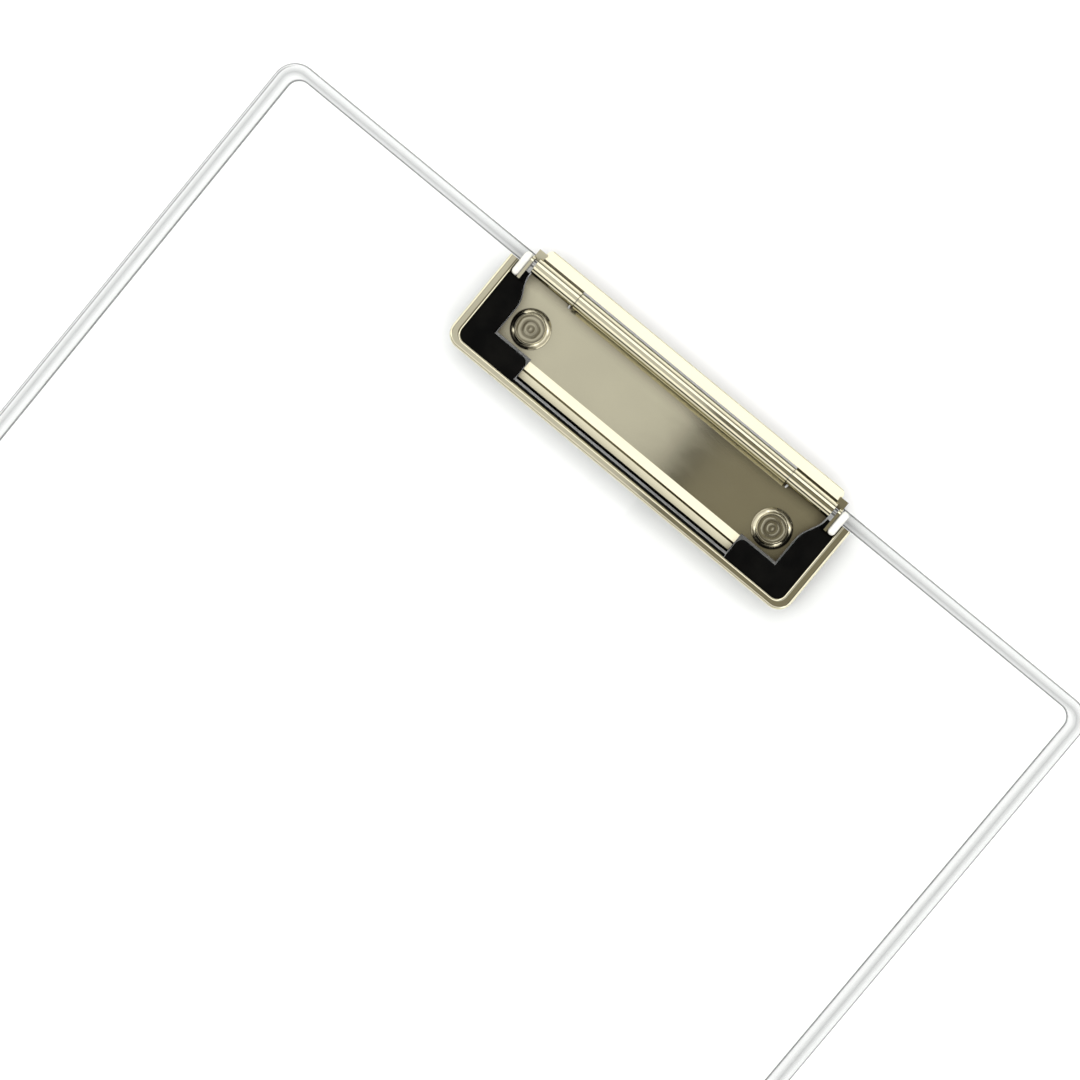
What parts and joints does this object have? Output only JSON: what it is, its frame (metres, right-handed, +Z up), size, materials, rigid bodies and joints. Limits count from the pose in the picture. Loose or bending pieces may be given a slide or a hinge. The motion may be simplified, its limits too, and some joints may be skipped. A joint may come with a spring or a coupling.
{
  "type": "clipboard",
  "caption": "Clear portrait clipboard with a raised rounded border and a low-profile sprung metal clip with black rubber corner grips, opened by pressing its rear lip.",
  "frame": {"origin": "centre of the overall outline, on the board's flat back", "axes": "+Z up out of the board's face, +Y along the board towards the clip end, +X across the board to the right with the clip at the top"},
  "size_m": [0.2286, 0.3204, 0.008],
  "materials": {
    "clear_board": "clear moulded acrylic, polished",
    "clip_metal": "polished pale-gold plated sheet steel",
    "steel": "bright drawn wire and rod",
    "white_plastic": "moulded white nylon, semi-gloss",
    "grip_rubber": "matte black moulded rubber"
  },
  "bodies": {
    "board_and_plate": {"board": "clear_board", "base_plate": "clip_metal", "hinge_rod": "steel", "torsion_spring_left": "steel", "torsion_spring_right": "steel", "rivet_left": "clip_metal", "rivet_right": "clip_metal", "washer_left": "steel", "washer_right": "steel"},
    "jaw": {"jaw_frame": "clip_metal", "hinge_cap_left": "white_plastic", "hinge_cap_right": "white_plastic", "rubber_corner_left": "grip_rubber", "rubber_corner_right": "grip_rubber", "rubber_strip": "grip_rubber"}
  },
  "joints": [
    {"name": "jaw_pivot", "type": "hinge", "parent": "board_and_plate", "child": "jaw", "pos_m": [0, 0.15525, 0.006], "axis": [-1, 0, 0], "range_deg": [0, 35], "stiffness_Nm_per_rad": 0.25, "springref_deg": -34.38, "deforming": ["torsion_spring_left", "torsion_spring_right"]}
  ]
}
